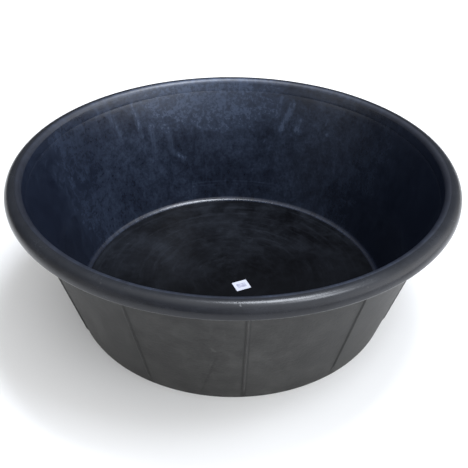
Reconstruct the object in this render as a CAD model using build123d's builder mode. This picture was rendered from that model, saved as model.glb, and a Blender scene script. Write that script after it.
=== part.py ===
from build123d import *
from math import atan2, cos, hypot, radians, sin
import os

# Round mortar mixing tub, in millimetres.  The tub stands on Z = 0, its axis is Z, and the first rib
# faces -Y.

# ---- Driving dimensions ----
rim_diameter = 650.0          # outside of the rim roll
height = 230.0                # ground to the crown of the rim
neck_diameter = 602.0         # outside of the wall, level with the lower edge of the rim roll
base_diameter = 496.0         # outside of the wall, where it would reach the ground
rim_drop = 20.0               # crown to the roll's lower edge, outside and inside

wall_thickness = 4.0
floor_thickness = 6.0
floor_fillet = 8.0            # inside corner between floor and wall
ground_edge_radius = 2.0      # outside corner between underside and wall

crown_outer_radius = 14.0     # outer shoulder of the roll
crown_inner_radius = 8.0      # inner shoulder, where the roll runs on from the inside of the wall
lip_radius = 4.0              # lower outer corner of the roll
skirt_rebate = 1.4            # how far the roll is let into the inside of the wall
skirt_edge_radius = 0.4       # lower inner corner of the roll, which leaves a fine joint line

flange_thickness = 4.0        # the wall's upper edge, turned outwards inside the roll
flange_cover = 6.0            # rubber above the flange
flange_edge_cover = 6.0       # rubber outside the flange
flange_corner_radius = 6.0    # where the wall turns into the flange, on top
flange_root_radius = 5.0      # under the flange, where the hoop beds
flange_edge_radius = 1.5

hoop_rod_diameter = 8.0       # steel rod bent into a ring
hoop_bite = 0.8               # how deep the rod beds into the wall and into the flange

rib_count = 12
rib_width = 4.6
rib_height = 1.8
rib_foot = 21.0               # ground to the rib's lower end, on the wall
rib_foot_rise = 3.0           # height over which the lower end slopes out
rib_root = 2.0                # how far the rib reaches into the wall
rib_edge_radius = 0.8

label_length = 25.0
label_width = 22.0
label_thickness = 0.2
label_corner_radius = 1.0
label_centre = (13.8, -19.7)
label_turn = 20.0             # degrees from +X

# ---- Sizes that follow ----
rim_radius = rim_diameter / 2
base_radius = base_diameter / 2
neck_height = height - rim_drop
wall_slope = (neck_diameter - base_diameter) / 2 / neck_height
wall_run = wall_thickness / cos(atan2(wall_slope, 1))
flange_top = height - flange_cover
flange_bottom = flange_top - flange_thickness
flange_radius = rim_radius - flange_edge_cover


def outer(z):
    """Radius of the wall's outside at a height."""
    return base_radius + wall_slope * z


def inner(z):
    """Radius of the wall's inside at a height."""
    return outer(z) - wall_run


def upright(angle):
    """Upright plane through the tub's axis, its X axis pointing outwards at an angle from -Y."""
    turn = radians(angle)
    return Plane(
        origin=(0, 0, 0),
        x_dir=(sin(turn), -cos(turn), 0),
        z_dir=(-cos(turn), -sin(turn), 0),
    )


def corner(sketch, r, z):
    """The corner of a section that lies at a radius and a height."""
    return sketch.vertices().sort_by_distance((r, z, 0))[0]


def is_rib_crest(edge):
    """Whether an edge is one of the two long outer edges of a rib."""
    middle = edge.center()
    stands_out = hypot(middle.X, middle.Y) - outer(middle.Z)
    return edge.length > (neck_height - rib_foot) / 2 and rib_height / 2 < stands_out < 2 * rib_height


rod_radius = hoop_rod_diameter / 2
hoop_gap = rod_radius - hoop_bite
hoop_height = flange_bottom - hoop_gap
hoop_radius = outer(hoop_height) + hoop_gap / cos(atan2(wall_slope, 1))

os.makedirs("parts", exist_ok=True)

# ---- Rim hoop: a round steel rod bent into a ring, in the corner under the wall's flange ----
with BuildPart() as rim_hoop:
    with BuildSketch(Plane.XZ):
        with Locations((hoop_radius, hoop_height)):
            Circle(rod_radius)
    revolve(axis=Axis.Z)
rim_hoop.part.label = "rim_hoop"
export_step(rim_hoop.part, "parts/rim_hoop.step")

# ---- Tub shell: floor, tapered wall, outward flange and outside ribs, all one moulding ----
with BuildPart() as tub_shell:
    with BuildSketch(Plane.XZ) as shell_section:
        with BuildLine():
            Polyline(
                (0, 0),
                (base_radius, 0),
                (outer(flange_bottom), flange_bottom),
                (flange_radius, flange_bottom),
                (flange_radius, flange_top),
                (inner(flange_top) + skirt_rebate, flange_top),
                (inner(neck_height) + skirt_rebate, neck_height),
                (inner(neck_height), neck_height),
                (inner(floor_thickness), floor_thickness),
                (0, floor_thickness),
                close=True,
            )
        make_face()
        fillet(corner(shell_section, base_radius, 0), ground_edge_radius)
        fillet(corner(shell_section, inner(floor_thickness), floor_thickness), floor_fillet)
        fillet(corner(shell_section, inner(flange_top) + skirt_rebate, flange_top), flange_corner_radius)
        fillet(corner(shell_section, outer(flange_bottom), flange_bottom), flange_root_radius)
        fillet(corner(shell_section, flange_radius, flange_top), flange_edge_radius)
        fillet(corner(shell_section, flange_radius, flange_bottom), flange_edge_radius)
    revolve(axis=Axis.Z)
    add(rim_hoop.part, mode=Mode.SUBTRACT)
    for number in range(rib_count):
        with BuildSketch(upright(number * 360 / rib_count)):
            with BuildLine():
                Polyline(
                    (outer(rib_foot) - rib_root, rib_foot),
                    (outer(rib_foot), rib_foot),
                    (outer(rib_foot + rib_foot_rise) + rib_height, rib_foot + rib_foot_rise),
                    (outer(neck_height) + rib_height, neck_height),
                    (outer(neck_height) - rib_root, neck_height),
                    close=True,
                )
            make_face()
        extrude(amount=rib_width / 2, both=True)
    fillet([edge for edge in tub_shell.edges() if is_rib_crest(edge)], rib_edge_radius)
tub_shell.part.label = "tub_shell"
export_step(tub_shell.part, "parts/tub_shell.step")

# ---- Rim roll: solid rubber over the flange and the hoop, let in flush with the inside of the wall ----
with BuildPart() as rim_roll:
    with BuildSketch(Plane.XZ) as roll_section:
        with BuildLine():
            Polyline(
                (inner(neck_height), neck_height),
                (inner(height), height),
                (rim_radius, height),
                (rim_radius, neck_height),
                close=True,
            )
        make_face()
        fillet(corner(roll_section, inner(neck_height), neck_height), skirt_edge_radius)
        fillet(corner(roll_section, inner(height), height), crown_inner_radius)
        fillet(corner(roll_section, rim_radius, height), crown_outer_radius)
        fillet(corner(roll_section, rim_radius, neck_height), lip_radius)
    revolve(axis=Axis.Z)
    add(tub_shell.part, mode=Mode.SUBTRACT)
    add(rim_hoop.part, mode=Mode.SUBTRACT)
rim_roll.part.label = "rim_roll"
export_step(rim_roll.part, "parts/rim_roll.step")

# ---- Floor label: a small paper sticker, off centre on the floor ----
with BuildPart() as floor_label:
    label_plane = Plane(
        origin=(*label_centre, floor_thickness),
        x_dir=(cos(radians(label_turn)), sin(radians(label_turn)), 0),
        z_dir=(0, 0, 1),
    )
    with BuildSketch(label_plane):
        RectangleRounded(label_length, label_width, label_corner_radius)
    extrude(amount=label_thickness)
floor_label.part.label = "floor_label"
export_step(floor_label.part, "parts/floor_label.step")
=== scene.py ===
import math

import bpy
import numpy as np
from mathutils import Matrix, Vector


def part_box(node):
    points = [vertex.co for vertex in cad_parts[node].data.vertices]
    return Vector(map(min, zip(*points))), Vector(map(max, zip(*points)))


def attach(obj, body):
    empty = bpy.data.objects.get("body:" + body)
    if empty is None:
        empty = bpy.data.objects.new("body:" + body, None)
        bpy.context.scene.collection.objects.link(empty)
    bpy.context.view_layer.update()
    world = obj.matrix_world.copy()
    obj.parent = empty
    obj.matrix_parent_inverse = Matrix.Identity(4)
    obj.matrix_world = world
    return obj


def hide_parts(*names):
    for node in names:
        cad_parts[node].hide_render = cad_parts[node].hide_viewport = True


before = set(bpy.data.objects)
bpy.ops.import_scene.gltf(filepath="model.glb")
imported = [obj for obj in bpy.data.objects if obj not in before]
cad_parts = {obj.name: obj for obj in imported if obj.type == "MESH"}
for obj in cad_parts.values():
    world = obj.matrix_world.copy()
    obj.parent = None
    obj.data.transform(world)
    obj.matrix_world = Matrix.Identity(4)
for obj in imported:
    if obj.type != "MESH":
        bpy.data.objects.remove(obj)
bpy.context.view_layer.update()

# ---- Sizes, in metres: the outline comes from the frame, the rest repeats the CAD's own numbers ----
roll_low, roll_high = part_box("rim_roll")
_, shell_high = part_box("tub_shell")
label_low, label_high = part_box("floor_label")

RIM_RADIUS = (roll_high.x - roll_low.x) / 2
HEIGHT = roll_high.z
NECK_HEIGHT = roll_low.z
FLANGE_TOP = shell_high.z
FLANGE_BOTTOM = FLANGE_TOP - 0.004
FLANGE_RADIUS = RIM_RADIUS - 0.006
FLOOR_THICKNESS = label_low.z

BASE_RADIUS = 0.248
NECK_RADIUS = 0.301
WALL_SLOPE = (NECK_RADIUS - BASE_RADIUS) / NECK_HEIGHT
WALL_RUN = 0.004 / math.cos(math.atan(WALL_SLOPE))

CROWN_OUTER_BEND = 0.014
CROWN_INNER_BEND = 0.008
LIP_BEND = 0.004
FLANGE_BEND = 0.006
FLANGE_EDGE_BEND = 0.0015
FLANGE_ROOT_BEND = 0.005
REBATE = 0.0014
REBATE_BEND = 0.0004
GROUND_BEND = 0.002
FLOOR_BEND = 0.008

RIB_COUNT = 12
RIB_WIDTH = 0.0046
RIB_HEIGHT = 0.0018
RIB_FOOT = 0.021
RIB_FOOT_RISE = 0.003
RIB_SHOULDER = 0.0004

LABEL_TURN = 20.0
MEAN_RADIUS = 0.28        # of the wall, for the width of marks that are placed by angle
POLISH_RADIUS = 0.3085    # the polished inside reaches over the inner shoulder to here

# How far the rubber strays from true round
WALL_STRAY = 0.0005
ROLL_STRAY = 0.0004
FLOOR_STRAY = 0.00012
FLOOR_RING_PITCH = 0.034

ON_SURFACE = 1e-4         # a point this near to a surface of the section lies on it

# ---- Camera, at the angle that the tub is seen from ----
CAMERA_AZIMUTH = -3.661
CAMERA_REACH = 0.83969
CAMERA_HEIGHT = 0.69314
CAMERA_HEADING = -3.792
CAMERA_PITCH = 35.436
CAMERA_ROLL = 0.639
CAMERA_LENS = 50.13


def outer(z):
    """Radius of the wall's outside at a height."""
    return BASE_RADIUS + WALL_SLOPE * z


def inner(z):
    """Radius of the wall's inside at a height."""
    return outer(z) - WALL_RUN


# ---- Meshes ----
def rounded_section(corners, closed, step, arc_steps=6):
    """Points (radius, height) along a section whose corners are (radius, height, corner radius)."""
    count = len(corners)
    path = []
    for i, (r, z, bend) in enumerate(corners):
        here = Vector((r, z))
        if bend == 0 or (not closed and i in (0, count - 1)):
            path.append([here])
            continue
        before = (Vector(corners[i - 1][:2]) - here).normalized()
        after = (Vector(corners[(i + 1) % count][:2]) - here).normalized()
        half = before.angle(after) / 2
        centre = here + (before + after).normalized() * bend / math.sin(half)
        start = here + before * bend / math.tan(half) - centre
        end = here + after * bend / math.tan(half) - centre
        turn = math.copysign(math.pi - 2 * half, start.x * end.y - start.y * end.x)
        arc = []
        for k in range(arc_steps + 1):
            a = turn * k / arc_steps
            spoke = Vector((
                start.x * math.cos(a) - start.y * math.sin(a),
                start.x * math.sin(a) + start.y * math.cos(a),
            ))
            arc.append(centre + spoke)
        path.append(arc)
    points = []
    for i, arc in enumerate(path):
        points.extend(arc)
        if i == count - 1 and not closed:
            break
        start, end = arc[-1], path[(i + 1) % count][0]
        pieces = max(1, math.ceil((end - start).length / step))
        points.extend(start.lerp(end, k / pieces) for k in range(1, pieces))
    return points


def skin(name, section, turns, closed, shape, materials, slot_of):
    """A mesh turned about Z. shape(r, z, turns) gives the radii and heights of one ring of points."""
    rings, verts = [], []
    for r, z in section:
        if r < 1e-6:
            rings.append([len(verts)])
            verts.append((0.0, 0.0, z))
            continue
        radii, heights = shape(r, z, turns)
        rings.append(range(len(verts), len(verts) + len(turns)))
        xs, ys = radii * np.sin(turns), -radii * np.cos(turns)
        verts.extend(zip(xs.tolist(), ys.tolist(), np.broadcast_to(heights, radii.shape).tolist()))
    faces, slots = [], []
    pairs = list(zip(rings, rings[1:] + rings[:1])) if closed else list(zip(rings, rings[1:]))
    around = len(turns)
    for index, (low, high) in enumerate(pairs):
        slot = slot_of(index)
        for k in range(around):
            n = (k + 1) % around
            if len(low) == 1:
                faces.append((low[0], high[n], high[k]))
            elif len(high) == 1:
                faces.append((low[k], low[n], high[0]))
            else:
                faces.append((low[k], low[n], high[n], high[k]))
            slots.append(slot)
    mesh = bpy.data.meshes.new(name)
    mesh.from_pydata(verts, [], faces)
    mesh.polygons.foreach_set("material_index", slots)
    mesh.polygons.foreach_set("use_smooth", [True] * len(faces))
    for material in materials:
        mesh.materials.append(material)
    mesh.validate()
    obj = bpy.data.objects.new(name, mesh)
    bpy.context.scene.collection.objects.link(obj)
    return obj


def smooth(x):
    """Smooth step of values clipped to 0..1."""
    x = np.clip(x, 0.0, 1.0)
    return x * x * (3 - 2 * x)


def rib_turns():
    """Angles round the tub, close together at the ribs."""
    sector = 360 / RIB_COUNT
    reach = 1.0
    near = np.linspace(-reach, reach, 21)
    far = np.linspace(reach, sector - reach, 19)[1:-1]
    one = np.concatenate([near, far])
    return np.radians(np.concatenate([one + sector * k for k in range(RIB_COUNT)]))


def stray(turns, z):
    """How unevenly the rubber has settled, from -1 to 1."""
    slow = np.sin(3 * turns + 0.7) + 0.6 * np.sin(5 * turns + 2.3 + 9 * z)
    quick = 0.45 * np.sin(11 * turns + 1.1 - 21 * z) + 0.3 * np.sin(17 * turns + 4.0 + 33 * z)
    return (slow + quick) / 2.35


def shell_shape(r, z, turns):
    """Ribs on the outside, a slightly uneven inside and low flow rings in the floor."""
    radii = np.full(turns.shape, r)
    if abs(r - outer(z)) < ON_SURFACE and 0.003 < z < FLANGE_BOTTOM - 0.006:
        sector = 2 * np.pi / RIB_COUNT
        across = np.abs((turns + sector / 2) % sector - sector / 2) * r
        ridge = smooth(1 - across / (RIB_WIDTH / 2 + RIB_SHOULDER))
        foot = smooth((z - RIB_FOOT) / RIB_FOOT_RISE)
        return radii + RIB_HEIGHT * ridge * foot, z
    if abs(r - inner(z)) < ON_SURFACE and z > FLOOR_THICKNESS:
        calm = smooth((NECK_HEIGHT - z) / 0.03) * smooth((z - FLOOR_THICKNESS) / 0.05)
        return radii + WALL_STRAY * calm * stray(turns, z), z
    if abs(z - FLOOR_THICKNESS) < 1e-6:
        calm = smooth(r / 0.05) * smooth((BASE_RADIUS - 0.02 - r) / 0.03)
        rings = np.sin(2 * np.pi * r / FLOOR_RING_PITCH + 1.5 * np.sin(turns + 1)) + stray(turns, r)
        return radii, z - FLOOR_STRAY * calm * (2 + rings) / 2
    return radii, z


def roll_shape(r, z, turns):
    """The crown sags and leans a little between the places where it was rolled down."""
    shoulder = smooth((z - FLANGE_BOTTOM) / 0.006) * smooth((r - inner(z)) / 0.002)
    lean = (1 + stray(turns, 0.1)) / 2
    sag = (1 + stray(turns + 1.3, 0.0)) / 2
    out = smooth((r - FLANGE_RADIUS) / 0.004)
    return r - ROLL_STRAY * lean * out, z - ROLL_STRAY * shoulder * sag


# ---- Materials ----
def put(tree, kind, values=None, **settings):
    """Adds a shader node. values sets its inputs by name or number; a socket is linked, a number is set."""
    node = tree.nodes.new(kind)
    for key, value in settings.items():
        setattr(node, key, value)
    for key, value in (values or {}).items():
        if isinstance(value, bpy.types.NodeSocket):
            tree.links.new(value, node.inputs[key])
        else:
            node.inputs[key].default_value = value
    return node


def new_material(name, **values):
    """A material with one Principled surface. values are socket names with _ for a space."""
    material = bpy.data.materials.new(name)
    material.use_nodes = True
    tree = material.node_tree
    tree.nodes.clear()
    inputs = {key.replace("_", " "): value for key, value in values.items()}
    surface = put(tree, "ShaderNodeBsdfPrincipled", inputs)
    put(tree, "ShaderNodeOutputMaterial", {"Surface": surface.outputs[0]})
    return material, tree, surface


def paint(tree, surface, colour, rough=None):
    """Links the colour, and the roughness where it varies, to the surface."""
    tree.links.new(colour, surface.inputs["Base Color"])
    if rough is not None:
        tree.links.new(rough, surface.inputs["Roughness"])


def bump(tree, surface, height, distance, strength=1.0):
    node = put(tree, "ShaderNodeBump", {"Height": height, "Distance": distance, "Strength": strength})
    tree.links.new(node.outputs[0], surface.inputs["Normal"])


def maths(tree, operation, first, second=0.0, clamp=False):
    return put(tree, "ShaderNodeMath", {0: first, 1: second}, operation=operation, use_clamp=clamp).outputs[0]


def times(tree, first, *others):
    """The product of two or more values."""
    for other in others:
        first = maths(tree, "MULTIPLY", first, other)
    return first


def plus(tree, first, *others):
    """The sum of two or more values."""
    for other in others:
        first = maths(tree, "ADD", first, other)
    return first


def weighted(tree, *terms):
    """The sum of (value, weight) pairs."""
    return plus(tree, *[times(tree, value, weight) for value, weight in terms])


def vector(tree, operation, first, second):
    return put(tree, "ShaderNodeVectorMath", {0: first, 1: second}, operation=operation).outputs[0]


def vector_dot(tree, first, second):
    return put(tree, "ShaderNodeVectorMath", {0: first, 1: second}, operation="DOT_PRODUCT").outputs["Value"]


def scaled(tree, arrow, factor):
    return put(tree, "ShaderNodeVectorMath", {0: arrow, "Scale": factor}, operation="SCALE").outputs[0]


def length(tree, arrow):
    return put(tree, "ShaderNodeVectorMath", {0: arrow}, operation="LENGTH").outputs["Value"]


def combined(tree, values):
    """A vector from its parts, given by number: 0, 1 and 2 for X, Y and Z."""
    return put(tree, "ShaderNodeCombineXYZ", values).outputs[0]


def separated(tree, arrow):
    return put(tree, "ShaderNodeSeparateXYZ", {0: arrow}).outputs


def object_place(tree):
    return put(tree, "ShaderNodeTexCoord").outputs["Object"]


def span(tree, value, low, high, to_low=0.0, to_high=1.0):
    """A soft step of a value between two limits."""
    node = put(
        tree, "ShaderNodeMapRange",
        {"Value": value, "From Min": low, "From Max": high, "To Min": to_low, "To Max": to_high},
        interpolation_type="SMOOTHSTEP",
    )
    return node.outputs[0]


def mix(tree, fac, first, second):
    """Blends two colours."""
    node = put(tree, "ShaderNodeMix", data_type="RGBA")
    for index, value in ((0, fac), (6, first), (7, second)):
        if isinstance(value, bpy.types.NodeSocket):
            tree.links.new(value, node.inputs[index])
        else:
            node.inputs[index].default_value = value if index == 0 else (*value, 1)
    return node.outputs[2]


def noise(tree, place, scale, detail=4.0, roughness=0.55, distortion=0.0):
    return put(tree, "ShaderNodeTexNoise", {
        "Vector": place, "Scale": scale, "Detail": detail, "Roughness": roughness, "Distortion": distortion,
    }).outputs[0]


def jitter(tree, place, scale, reach):
    """A small uneven distance, either side of zero, that makes the edge of a mark ragged."""
    return times(tree, maths(tree, "SUBTRACT", noise(tree, place, scale, 4, 0.7), 0.5), reach)


def wrapped(tree):
    """Places on the tub: object coordinates, the turned direction (no seam), the radius and the height."""
    place = object_place(tree)
    parts = separated(tree, place)
    flat = combined(tree, {0: parts[0], 1: parts[1]})
    way = put(tree, "ShaderNodeVectorMath", {0: flat}, operation="NORMALIZE").outputs[0]
    return place, way, length(tree, flat), parts[2]


def round_wall(tree, way, height, squeeze):
    """Wall places as metres along the rim, with the height squeezed so that a pattern runs upright."""
    up = combined(tree, {2: times(tree, height, squeeze)})
    return vector(tree, "ADD", scaled(tree, way, MEAN_RADIUS), up)


def turn_from_back(tree, place):
    """Angle round the tub in radians: zero at the back, growing to the left, with its seam at the front."""
    parts = separated(tree, place)
    return maths(tree, "ARCTAN2", times(tree, parts[0], -1.0), parts[1])


def turn_from_front(tree, place):
    """Angle round the tub in radians: zero at the front, growing to the right, with its seam at the back."""
    parts = separated(tree, place)
    return maths(tree, "ARCTAN2", parts[0], times(tree, parts[1], -1.0))


def stroke(tree, turn, height, start, end, width, softness, ragged):
    """A mark on the wall from start to end, each (degrees, height in metres). ragged moves its edge."""
    (turn_a, low), (turn_b, high) = start, end
    along = maths(tree, "SUBTRACT", height, low)
    share = maths(tree, "DIVIDE", along, high - low, clamp=True)
    centre = times(tree, share, math.radians(turn_b - turn_a))
    across = maths(tree, "SUBTRACT", maths(tree, "SUBTRACT", turn, math.radians(turn_a)), centre)
    across = times(tree, maths(tree, "ABSOLUTE", across), MEAN_RADIUS)
    past = maths(tree, "ABSOLUTE", maths(tree, "SUBTRACT", along, times(tree, share, high - low)))
    return span(tree, plus(tree, across, past, ragged), width + softness, max(width - softness, 0.0))


# Rub marks inside: start and end as (degrees left of the back, height), width, softness, brightness
RUBS = [
    ((-25.5, 0.196), (-22.0, 0.146), 0.0034, 0.0060, 0.55),
    ((-21.0, 0.205), (-20.0, 0.170), 0.0024, 0.0050, 0.35),
    ((-29.0, 0.168), (-27.5, 0.150), 0.0030, 0.0040, 0.35),
    ((-39.5, 0.182), (-39.0, 0.172), 0.0020, 0.0024, 0.22),
    ((-40.5, 0.158), (-40.2, 0.154), 0.0022, 0.0022, 0.28),
    ((34.0, 0.210), (32.5, 0.150), 0.0020, 0.0050, 0.35),
    ((44.0, 0.205), (41.0, 0.165), 0.0022, 0.0056, 0.22),
    ((19.0, 0.100), (17.0, 0.094), 0.0045, 0.0060, 0.38),
    ((10.5, 0.150), (9.5, 0.146), 0.0036, 0.0040, 0.35),
    ((-16.0, 0.122), (-15.5, 0.119), 0.0016, 0.0016, 0.35),
    ((29.0, 0.165), (28.0, 0.118), 0.0030, 0.0070, 0.20),
    ((22.0, 0.150), (21.0, 0.105), 0.0030, 0.0070, 0.16),
]

# Level lines inside, left by the mixing: height, half width, brightness, and where on the back they fade out
LINES = [
    (0.042, 0.0010, 0.20, 0.90, 0.99),
    (0.036, 0.0008, 0.12, 0.88, 0.98),
]

DEEP = (0.0042, 0.0058, 0.0120)
HAZY = (0.095, 0.133, 0.222)
HALF_HAZE = 0.75          # the amount of bloom that hides half of the rubber's own colour


def inside_bloom_and_reflection(tree, place, way, height):
    """The smoky bloom inside: a mottled veil, upright wipe marks, fine scratches and the rub marks, massed
    with a painted reflection of the bright front in the upper back.
    """
    upright = round_wall(tree, way, height, 0.22)
    level = round_wall(tree, way, height, 3.0)
    even = round_wall(tree, way, height, 1.0)
    cloud = span(tree, noise(tree, even, 11, 5, 0.62, 0.6), 0.25, 0.78, 0.22, 0.95)
    smoke = span(tree, noise(tree, even, 60, 6, 0.68, 0.4), 0.28, 0.80)
    mottle = span(tree, noise(tree, even, 190, 4, 0.70), 0.30, 0.78)
    wipe = span(tree, noise(tree, upright, 85, 5, 0.65, 0.3), 0.46, 0.82)
    fine = span(tree, noise(tree, upright, 330, 3, 0.5), 0.54, 0.78)
    band = span(tree, noise(tree, level, 34, 4, 0.6), 0.56, 0.84)
    smoky = plus(tree, times(tree, smoke, 0.75), 0.25)
    veil = times(tree, cloud, smoky, plus(tree, times(tree, mottle, 0.80), 0.45))
    wipes = times(tree, wipe, smoke, 0.34)
    bloom = plus(tree, veil, wipes, times(tree, fine, cloud, 0.18), times(tree, band, 0.10))

    # Thickest in the upper back and a little to its left, and stronger higher up: partly bloom, partly a
    # painted reflection of the bright front and sky in the back wall
    back = span(tree, vector_dot(tree, way, (-0.10, 0.99, 0)), -0.20, 0.99)
    front = span(tree, vector_dot(tree, way, (0, -1, 0)), 0.25, 0.95, 0.12, 0.55)
    bloom_and_reflection_by_side = maths(tree, "MAXIMUM", front, span(tree, back, 0.0, 1.0, 0.12, 1.0))
    high = span(tree, height, 0.0, 0.20, 0.36, 0.50)
    bloom = times(tree, bloom, times(tree, high, bloom_and_reflection_by_side))
    # A painted reflection massed on the upper back wall, added over the bloom there
    bloom_and_reflection_facing = span(tree, vector_dot(tree, way, (-0.10, 0.995, 0)), 0.87, 0.99)
    upper_back_bloom_and_reflection = times(tree, bloom_and_reflection_facing, span(tree, height, 0.125, 0.195))
    dapple = times(tree, smoky, plus(tree, mottle, 0.25))
    bloom = plus(tree, bloom, times(tree, upper_back_bloom_and_reflection, span(tree, dapple, 0.0, 1.2, 0.10, 1.05)))

    turn = turn_from_back(tree, place)
    ragged = span(tree, noise(tree, upright, 190, 4, 0.7), 0.30, 0.62, 0.10, 1.0)
    edge = jitter(tree, even, 150, 0.012)
    for start, end, width, softness, bright in RUBS:
        mark = stroke(tree, turn, height, start, end, width, softness, edge)
        bloom = plus(tree, bloom, times(tree, mark, ragged, bright))
    behind = vector_dot(tree, way, (0.02, 1, 0))
    for line_height, width, bright, fade, full in LINES:
        off = maths(tree, "ABSOLUTE", maths(tree, "SUBTRACT", height, line_height))
        line = times(tree, span(tree, off, width * 1.6, width * 0.4), span(tree, behind, fade, full))
        bloom = plus(tree, bloom, times(tree, line, smoke, bright))
    return maths(tree, "DIVIDE", bloom, plus(tree, bloom, HALF_HAZE)), fine


def make_inside_rubber():
    """Polished blue-black rubber under a smoky bloom, with a painted reflection in its upper back."""
    material, tree, surface = new_material("inside_rubber")
    place, way, _, height = wrapped(tree)
    bloom, fine = inside_bloom_and_reflection(tree, place, way, height)
    paint(tree, surface, mix(tree, bloom, DEEP, HAZY), plus(tree, times(tree, bloom, 0.22), 0.20))
    peel = noise(tree, place, 95, 4, 0.55)
    bump(tree, surface, plus(tree, peel, times(tree, fine, -0.35)), 0.00030, 0.5)
    return material


FLOOR_DEEP = (0.0018, 0.0020, 0.0028)
FLOOR_WORN = (0.029, 0.034, 0.045)


def make_floor_rubber():
    """The floor, dulled by the shovel: dim arcs round the middle, a paler patch at the back left, specks."""
    material, tree, surface = new_material("floor_rubber", Specular_IOR_Level=0.07)
    place, way, radius, _ = wrapped(tree)
    swirl = vector(tree, "ADD", scaled(tree, way, 0.016), combined(tree, {2: radius}))
    arcs = span(tree, noise(tree, swirl, 95, 5, 0.7, 0.5), 0.48, 0.76)
    hair = span(tree, noise(tree, swirl, 420, 3, 0.6, 0.3), 0.54, 0.78)
    cloud = span(tree, noise(tree, place, 9, 4, 0.6, 0.5), 0.34, 0.74)
    grime = span(tree, noise(tree, place, 38, 5, 0.7, 0.4), 0.34, 0.76)
    speck = span(tree, noise(tree, place, 150, 3, 0.65), 0.62, 0.76)
    scratches = times(tree, hair, cloud)
    wear = weighted(tree, (arcs, 0.30), (cloud, 0.34), (scratches, 0.30), (grime, 0.26), (speck, 0.16))
    back_left = span(tree, vector_dot(tree, place, (-0.10, 0.99, 0)), -0.14, 0.22)
    wear = maths(tree, "MULTIPLY", wear, span(tree, back_left, 0.0, 1.0, 0.10, 0.95), clamp=True)
    paint(tree, surface, mix(tree, wear, FLOOR_DEEP, FLOOR_WORN), plus(tree, times(tree, wear, 0.20), 0.30))
    relief = plus(tree, noise(tree, place, 95, 4, 0.55), times(tree, arcs, 0.8))
    bump(tree, surface, relief, 0.00030, 0.5)
    return material


# Nicks on the crown: degrees right of the front, radius, size, depth from 0 to 1
NICKS = [
    (-1.9, 0.3174, 0.0011, 0.8),
    (-2.7, 0.3145, 0.0008, 0.5),
    (-31.0, 0.3180, 0.0010, 0.4),
    (24.5, 0.3205, 0.0008, 0.4),
]


def nick_depth(tree, place, radius):
    """How deep the crown is nicked, from 0 to 1."""
    turn = turn_from_front(tree, place)
    depth = 0.0
    for degrees, nick_radius, size, deepest in NICKS:
        along = times(tree, maths(tree, "SUBTRACT", turn, math.radians(degrees)), nick_radius)
        out = maths(tree, "SUBTRACT", radius, nick_radius)
        away = length(tree, combined(tree, {0: along, 1: out}))
        spot = times(tree, span(tree, away, size * 1.5, size * 0.5), deepest)
        depth = maths(tree, "MAXIMUM", depth, spot)
    return depth


RIM_CLEAN = (0.0042, 0.0052, 0.0088)
RIM_DUSTY = (0.0165, 0.0190, 0.0265)
RIM_TOP_PALE = (0.0240, 0.0265, 0.0310)
RIM_LIP_WEAR_AND_HIGHLIGHT = (0.040, 0.042, 0.046)
RIM_NICKED = (0.05, 0.052, 0.056)


def make_rim_rubber(name, gloss):
    """Satin blue-black rubber, worn along its lip where a painted highlight line also runs, and nicked, that
    turns into the polished inside where the inner shoulder begins. gloss is its specular level."""
    material, tree, surface = new_material(name, Specular_IOR_Level=gloss)
    place, way, radius, height = wrapped(tree)
    even = round_wall(tree, way, height, 1.0)
    level = round_wall(tree, way, height, 6.0)
    cloud = span(tree, noise(tree, place, 16, 5, 0.65, 0.5), 0.32, 0.76)
    pull = span(tree, noise(tree, level, 60, 4, 0.6, 0.2), 0.44, 0.78)
    speck = span(tree, noise(tree, place, 210, 3, 0.6), 0.60, 0.76)
    dust = weighted(tree, (cloud, 0.45), (pull, 0.30))
    dust = maths(tree, "ADD", dust, times(tree, speck, 0.18), clamp=True)
    shade = mix(tree, dust, RIM_CLEAN, RIM_DUSTY)
    # Paler band along the lip's lower edge: partly wear, partly a painted highlight line
    lip = span(tree, height, NECK_HEIGHT + 0.0040, NECK_HEIGHT + 0.0010)
    lip_wear_and_highlight = times(tree, lip, span(tree, noise(tree, even, 40, 4, 0.65), 0.42, 0.70))
    shade = mix(tree, lip_wear_and_highlight, shade, RIM_LIP_WEAR_AND_HIGHLIGHT)
    # Paler along the top of the crown
    paler_top = times(tree, span(tree, height, HEIGHT - 0.006, HEIGHT - 0.001), 0.40)
    shade = mix(tree, paler_top, shade, RIM_TOP_PALE)

    # The polished inner shoulder takes the inside's bloom colour, painted reflection in the upper back
    # included
    bloom, _ = inside_bloom_and_reflection(tree, place, way, height)
    edge = plus(tree, radius, times(tree, noise(tree, even, 30, 4, 0.6), 0.0016))
    polished = span(tree, edge, POLISH_RADIUS + 0.0018, POLISH_RADIUS)
    shade = mix(tree, polished, shade, mix(tree, bloom, DEEP, HAZY))
    nicks = nick_depth(tree, place, radius)
    rough = plus(tree, times(tree, dust, 0.12), span(tree, polished, 0.0, 1.0, 0.22, 0.40))
    paint(tree, surface, mix(tree, nicks, shade, RIM_NICKED), rough)
    peel = noise(tree, place, 70, 4, 0.5)
    grain = noise(tree, place, 700, 2, 0.5)
    relief = plus(tree, peel, times(tree, grain, 0.05), times(tree, pull, 0.12))
    bump(tree, surface, maths(tree, "SUBTRACT", relief, times(tree, nicks, 2.0)), 0.0004, 0.4)
    return material


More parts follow.
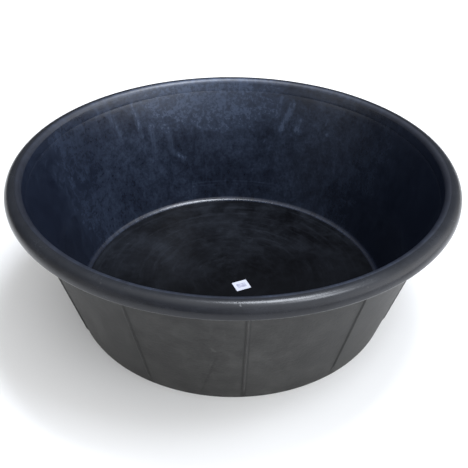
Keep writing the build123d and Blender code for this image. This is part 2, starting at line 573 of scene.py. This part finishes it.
# Scars outside: start and end as (degrees right of the front, height), width, softness, change of dust
SCARS = [
    ((-8.6, 0.1225), (-7.9, 0.1165), 0.0018, 0.0016, 0.55),
    ((-9.8, 0.062), (-7.5, 0.104), 0.0012, 0.0016, -0.30),
    ((-12.9, 0.012), (-9.8, 0.062), 0.0012, 0.0016, -0.30),
    ((-47.0, 0.050), (-44.0, 0.100), 0.0100, 0.0160, 0.28),
    ((-33.0, 0.120), (-27.0, 0.160), 0.0060, 0.0120, 0.16),
    ((-2.0, 0.030), (3.0, 0.060), 0.0060, 0.0150, 0.12),
    ((-20.0, 0.070), (-16.0, 0.110), 0.0080, 0.0160, 0.14),
]

OUTSIDE_CLEAN = (0.0068, 0.0069, 0.0071)
OUTSIDE_DUSTY = (0.0590, 0.0590, 0.0575)
# Painted shade for the roots beside the ribs
RIB_ROOT_PAINTED_SHADE = (0.005, 0.005, 0.005)


def make_outside_rubber():
    """Dull grey-black moulded rubber, scuffed and dusty, paler on the ribs and near the ground, with painted
    shade at the roots of the ribs.
    """
    material, tree, surface = new_material("outside_rubber", Specular_IOR_Level=0.32)
    place, way, radius, height = wrapped(tree)
    even = round_wall(tree, way, height, 1.0)
    upright = round_wall(tree, way, height, 0.30)
    level = round_wall(tree, way, height, 2.4)
    cloud = span(tree, noise(tree, place, 12, 5, 0.62, 0.6), 0.36, 0.70)
    blotch = span(tree, noise(tree, place, 42, 5, 0.65, 0.5), 0.40, 0.72)
    runs = span(tree, noise(tree, upright, 70, 4, 0.6, 0.3), 0.46, 0.76)
    rubs = span(tree, noise(tree, level, 50, 4, 0.65, 0.4), 0.56, 0.78)
    grit = span(tree, noise(tree, place, 330, 3, 0.65), 0.50, 0.72)
    dust = weighted(tree, (cloud, 0.40), (blotch, 0.28), (runs, 0.12), (rubs, 0.18), (grit, 0.16))

    turn = turn_from_front(tree, place)
    edge = jitter(tree, even, 90, 0.008)
    for start, end, width, softness, change in SCARS:
        mark = stroke(tree, turn, height, start, end, width, softness, edge)
        dust = plus(tree, dust, times(tree, mark, change))

    # Ribs stand where the angle from the front is a whole number of sectors
    from_rib = times(tree, maths(tree, "PINGPONG", turn, math.pi / RIB_COUNT), radius)
    wall = plus(tree, times(tree, height, WALL_SLOPE), BASE_RADIUS)
    proud = maths(tree, "SUBTRACT", radius, wall)
    crest = span(tree, proud, RIB_HEIGHT * 0.55, RIB_HEIGHT * 0.98)
    beside = span(tree, from_rib, RIB_WIDTH * 1.1, RIB_WIDTH * 0.6)
    # Painted shade in the roots either side of each rib
    root = times(tree, beside, span(tree, proud, RIB_HEIGHT * 0.6, RIB_HEIGHT * 0.1))
    ground = span(tree, height, 0.030, 0.002)
    ragged = span(tree, noise(tree, place, 60, 5, 0.7), 0.40, 0.66)
    dust = plus(tree, dust, times(tree, crest, ragged, 0.30))
    dust = maths(tree, "ADD", dust, times(tree, ground, ragged, 0.30), clamp=True)
    shade = mix(tree, dust, OUTSIDE_CLEAN, OUTSIDE_DUSTY)
    shade = mix(tree, times(tree, root, 0.6), shade, RIB_ROOT_PAINTED_SHADE)
    paint(tree, surface, shade, plus(tree, times(tree, dust, 0.22), 0.48))
    dent = times(tree, noise(tree, place, 22, 3, 0.5), 2.4)
    relief = plus(tree, noise(tree, place, 240, 4, 0.6), dent, times(tree, rubs, -0.4))
    bump(tree, surface, relief, 0.0004, 0.7)
    return material


STEEL = (0.42, 0.41, 0.39)
RUST = (0.16, 0.075, 0.035)


def make_steel():
    """Drawn steel rod with a little rust bloom."""
    material, tree, surface = new_material("drawn_steel", Metallic=1.0)
    place, way, _, height = wrapped(tree)
    rust = span(tree, noise(tree, place, 70, 6, 0.65, 0.6), 0.52, 0.70)
    draw = noise(tree, round_wall(tree, way, height, 40.0), 120, 3, 0.5)
    paint(tree, surface, mix(tree, rust, STEEL, RUST), plus(tree, times(tree, rust, 0.4), 0.32))
    bump(tree, surface, plus(tree, draw, rust), 0.00015, 0.6)
    return material


PAPER = (0.56, 0.58, 0.67)
PAPER_FIBRE = (0.50, 0.52, 0.60)
PAPER_SMUDGE = (0.30, 0.30, 0.40)
PAPER_INK = (0.13, 0.15, 0.26)


def make_paper():
    """A white paper sticker with a smudged middle and a few broken grey bars in it, no lettering."""
    material, tree, surface = new_material("paper", Roughness=0.55)
    centre = (label_low + label_high) / 2
    own = put(tree, "ShaderNodeMapping", {
        "Vector": vector(tree, "SUBTRACT", object_place(tree), centre),
        "Rotation": (0, 0, -math.radians(LABEL_TURN)),
    }).outputs[0]
    parts = separated(tree, own)
    side, rise = parts[0], parts[1]
    bars = span(tree, maths(tree, "PINGPONG", plus(tree, rise, 0.0003), 0.0014), 0.0007, 0.0009)
    stretched = put(tree, "ShaderNodeMapping", {"Vector": own, "Scale": (1, 0.02, 1)}).outputs[0]
    breaks = span(tree, noise(tree, stretched, 420, 1, 0.5), 0.46, 0.52)
    inside = times(tree,
                   span(tree, maths(tree, "ABSOLUTE", side), 0.0080, 0.0074),
                   span(tree, maths(tree, "ABSOLUTE", rise), 0.0052, 0.0046))
    ink = times(tree, bars, breaks, inside)
    fibre = span(tree, noise(tree, own, 900, 3, 0.6), 0.40, 0.70)
    smudge = span(tree, noise(tree, own, 160, 4, 0.6), 0.40, 0.64)
    sheet = mix(tree, times(tree, fibre, 0.2), PAPER, PAPER_FIBRE)
    smudged = times(tree, inside, plus(tree, times(tree, smudge, 0.55), 0.30))
    sheet = mix(tree, smudged, sheet, PAPER_SMUDGE)
    paint(tree, surface, mix(tree, times(tree, ink, 0.50), sheet, PAPER_INK))
    bump(tree, surface, plus(tree, fibre, smudge), 0.00006, 0.5)
    return material


def make_pale():
    """The plain pale floor that the tub stands on. It glows faintly, which lights the tub a little from below
    and lightens its shadow.
    """
    material, tree, surface = new_material(
        "pale_floor", Roughness=0.85, Emission_Color=(1, 1, 1, 1), Emission_Strength=0.10,
    )
    tone = span(tree, noise(tree, object_place(tree), 3, 3, 0.5), 0.3, 0.7)
    paint(tree, surface, mix(tree, tone, (0.83, 0.83, 0.83), (0.85, 0.85, 0.85)))
    return material


inside_rubber = make_inside_rubber()
floor_rubber = make_floor_rubber()
outside_rubber = make_outside_rubber()
rim_rubber = make_rim_rubber("rim_rubber", 0.36)
shoulder_rubber = make_rim_rubber("shoulder_rubber", 0.62)
paper = make_paper()
pale = make_pale()
steel = make_steel()


# ---- Shell and roll ----
# The corners where the two meet, from outside over the flange and down into the rebate
JOINT = [
    (outer(FLANGE_BOTTOM), FLANGE_BOTTOM, FLANGE_ROOT_BEND),
    (FLANGE_RADIUS, FLANGE_BOTTOM, FLANGE_EDGE_BEND),
    (FLANGE_RADIUS, FLANGE_TOP, FLANGE_EDGE_BEND),
    (inner(FLANGE_TOP) + REBATE, FLANGE_TOP, FLANGE_BEND),
    (inner(NECK_HEIGHT) + REBATE, NECK_HEIGHT, 0),
    (inner(NECK_HEIGHT), NECK_HEIGHT, REBATE_BEND),
]


def make_shell():
    """The floor and the ribbed wall up to the flange. Its material changes at the brim and at the floor."""
    section = rounded_section([
        (0, 0, 0),
        (BASE_RADIUS, 0, GROUND_BEND),
        *JOINT,
        (inner(FLOOR_THICKNESS), FLOOR_THICKNESS, FLOOR_BEND),
        (0, FLOOR_THICKNESS, 0),
    ], closed=False, step=0.008, arc_steps=8)
    brim = max(range(len(section)), key=lambda i: section[i][0])
    return skin(
        "shell_moulding", section, rib_turns(), False, shell_shape,
        [outside_rubber, inside_rubber, floor_rubber],
        lambda index: 0 if index < brim else 1 if section[index][1] > FLOOR_THICKNESS + 1e-5 else 2,
    )


def make_roll():
    """The thick rounded rim over the flange."""
    section = rounded_section([
        *reversed(JOINT),
        (outer(NECK_HEIGHT), NECK_HEIGHT, 0),
        (RIM_RADIUS, NECK_HEIGHT, LIP_BEND),
        (RIM_RADIUS, HEIGHT, CROWN_OUTER_BEND),
        (inner(HEIGHT), HEIGHT, CROWN_INNER_BEND),
    ], closed=True, step=0.006, arc_steps=12)
    turns = np.linspace(0, 2 * np.pi, 433)[:-1]

    def slot_of(index):
        """0 on the crown and outside, 1 on the flank that runs on from the wall, 2 on the inner shoulder."""
        ends = section[index], section[(index + 1) % len(section)]
        if all(abs(r - inner(z)) < 1e-5 for r, z in ends):
            return 1
        return 2 if all(r < POLISH_RADIUS and z > HEIGHT - 2 * CROWN_INNER_BEND for r, z in ends) else 0

    return skin(
        "rim_roll_rubber", section, turns, True, roll_shape,
        [rim_rubber, inside_rubber, shoulder_rubber], slot_of,
    )


shell = make_shell()
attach(shell, "root")
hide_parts("tub_shell")

roll = make_roll()
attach(roll, "root")
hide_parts("rim_roll")

for node, material in (("rim_hoop", steel), ("floor_label", paper)):
    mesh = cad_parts[node].data
    mesh.materials.clear()
    mesh.materials.append(material)

# ---- Stage ----
scene = bpy.context.scene
LIGHT_AIM = Vector((0, 0, 0.15))
LIGHT_DISTANCE = 2.4
LIGHT_COLOUR = (0.92, 0.97, 1.06)


def make_floor():
    """A wide square, a hair below the tub so that the two never share a plane."""
    mesh = bpy.data.meshes.new("floor")
    low, side = -0.0002, 15.0
    corners = [(-side, -side, low), (side, -side, low), (side, side, low), (-side, side, low)]
    mesh.from_pydata(corners, [], [(0, 1, 2, 3)])
    mesh.materials.append(pale)
    obj = bpy.data.objects.new("floor", mesh)
    scene.collection.objects.link(obj)


def make_area(name, direction, size, radiance):
    """A soft box that looks at the tub from a direction. Its power follows from its size and brightness."""
    data = bpy.data.lights.new(name, "AREA")
    data.shape = "RECTANGLE"
    data.size, data.size_y = size
    data.energy = radiance * math.pi * size[0] * size[1]
    data.color = LIGHT_COLOUR
    obj = bpy.data.objects.new(name, data)
    obj.location = LIGHT_AIM + Vector(direction).normalized() * LIGHT_DISTANCE
    obj.rotation_mode = "QUATERNION"
    obj.rotation_quaternion = (LIGHT_AIM - obj.location).to_track_quat("-Z", "Y")
    scene.collection.objects.link(obj)


def make_world(base, lobes):
    """A soft room: an even glow, and broad bright sides, each (direction, tightness, brightness, colour)."""
    world = bpy.data.worlds.new("studio")
    world.use_nodes = True
    tree = world.node_tree
    tree.nodes.clear()
    way = put(tree, "ShaderNodeTexCoord").outputs["Generated"]
    glow = combined(tree, dict(enumerate(base)))
    for direction, tightness, brightness, colour in lobes:
        facing = maths(tree, "MAXIMUM", vector_dot(tree, way, Vector(direction).normalized()))
        shape = maths(tree, "POWER", facing, tightness)
        tint = [brightness * channel for channel in colour]
        glow = vector(tree, "ADD", glow, scaled(tree, tint, shape))
    light = put(tree, "ShaderNodeBackground", {"Color": glow})
    put(tree, "ShaderNodeOutputWorld", {"Surface": light.outputs[0]})
    scene.world = world


def make_camera():
    """The photograph's viewing angle, with no shift and no depth of field."""
    data = bpy.data.cameras.new("camera")
    data.lens = CAMERA_LENS
    data.sensor_width = 36
    obj = bpy.data.objects.new("camera", data)
    turn = math.radians(CAMERA_AZIMUTH)
    place = Vector((CAMERA_REACH * math.sin(turn), -CAMERA_REACH * math.cos(turn), CAMERA_HEIGHT))
    obj.matrix_world = (
        Matrix.Translation(place)
        @ Matrix.Rotation(math.radians(CAMERA_HEADING), 4, "Z")
        @ Matrix.Rotation(math.radians(90 - CAMERA_PITCH), 4, "X")
        @ Matrix.Rotation(math.radians(CAMERA_ROLL), 4, "Z")
    )
    scene.collection.objects.link(obj)
    scene.camera = obj


make_floor()
make_world(
    base=(0.08, 0.08, 0.082),
    lobes=[
        ((0, 0, 1), 5, 1.4, (1.0, 1.0, 1.0)),
        ((0.55, -0.72, 0.42), 4, 1.7, (0.94, 0.97, 1.0)),
        ((-0.35, -0.85, 0.35), 4, 0.25, (0.94, 0.97, 1.0)),
        ((1, -0.15, 0.12), 5, 2.4, (1.0, 1.0, 1.0)),
        ((-1, -0.35, 0.08), 6, 0.9, (1.0, 0.99, 0.97)),
    ],
)
make_area("overhead", (0.18, 0.14, 0.97), (0.86, 0.62), 25)
make_area("front_right", (0.39, -0.21, 0.90), (0.66, 0.60), 14)
make_camera()
scene.view_settings.view_transform = "Standard"
